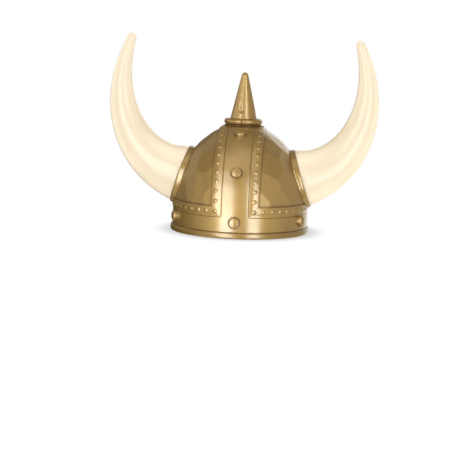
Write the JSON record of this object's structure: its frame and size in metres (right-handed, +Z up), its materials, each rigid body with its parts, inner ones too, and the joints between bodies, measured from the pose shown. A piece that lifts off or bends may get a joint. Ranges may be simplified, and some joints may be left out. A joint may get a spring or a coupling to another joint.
{
  "type": "viking helmet",
  "caption": "Horned costume helmet: hollow gold plastic dome with smooth bands, studded frames, large button rivets, curved cream horns and a cone spike on a round collar.",
  "frame": {"origin": "middle of the rim's underside, on the surface that the helmet stands on", "axes": "+Z up, -Y to the front of the helmet, +X along the line from horn to horn"},
  "size_m": [0.307, 0.1964, 0.2212],
  "materials": {
    "gold_plastic": "semi-gloss metallic gold plastic",
    "cream_plastic": "smooth satin cream plastic"
  },
  "bodies": {
    "root": {"shell": "gold_plastic", "band": "gold_plastic", "rim_bead": "gold_plastic", "frame_left": "gold_plastic", "frame_right": "gold_plastic", "socket_left": "gold_plastic", "socket_right": "gold_plastic", "horn_left": "cream_plastic", "horn_right": "cream_plastic", "collar": "gold_plastic", "spike": "gold_plastic", "rivet_brow_1": "gold_plastic", "rivet_brow_2": "gold_plastic", "rivet_brow_3": "gold_plastic", "rivet_brow_4": "gold_plastic", "rivet_brow_5": "gold_plastic", "rivet_brow_6": "gold_plastic", "rivet_crest_1": "gold_plastic", "rivet_crest_2": "gold_plastic", "rivet_crest_3": "gold_plastic", "rivet_crest_4": "gold_plastic"}
  },
  "joints": []
}
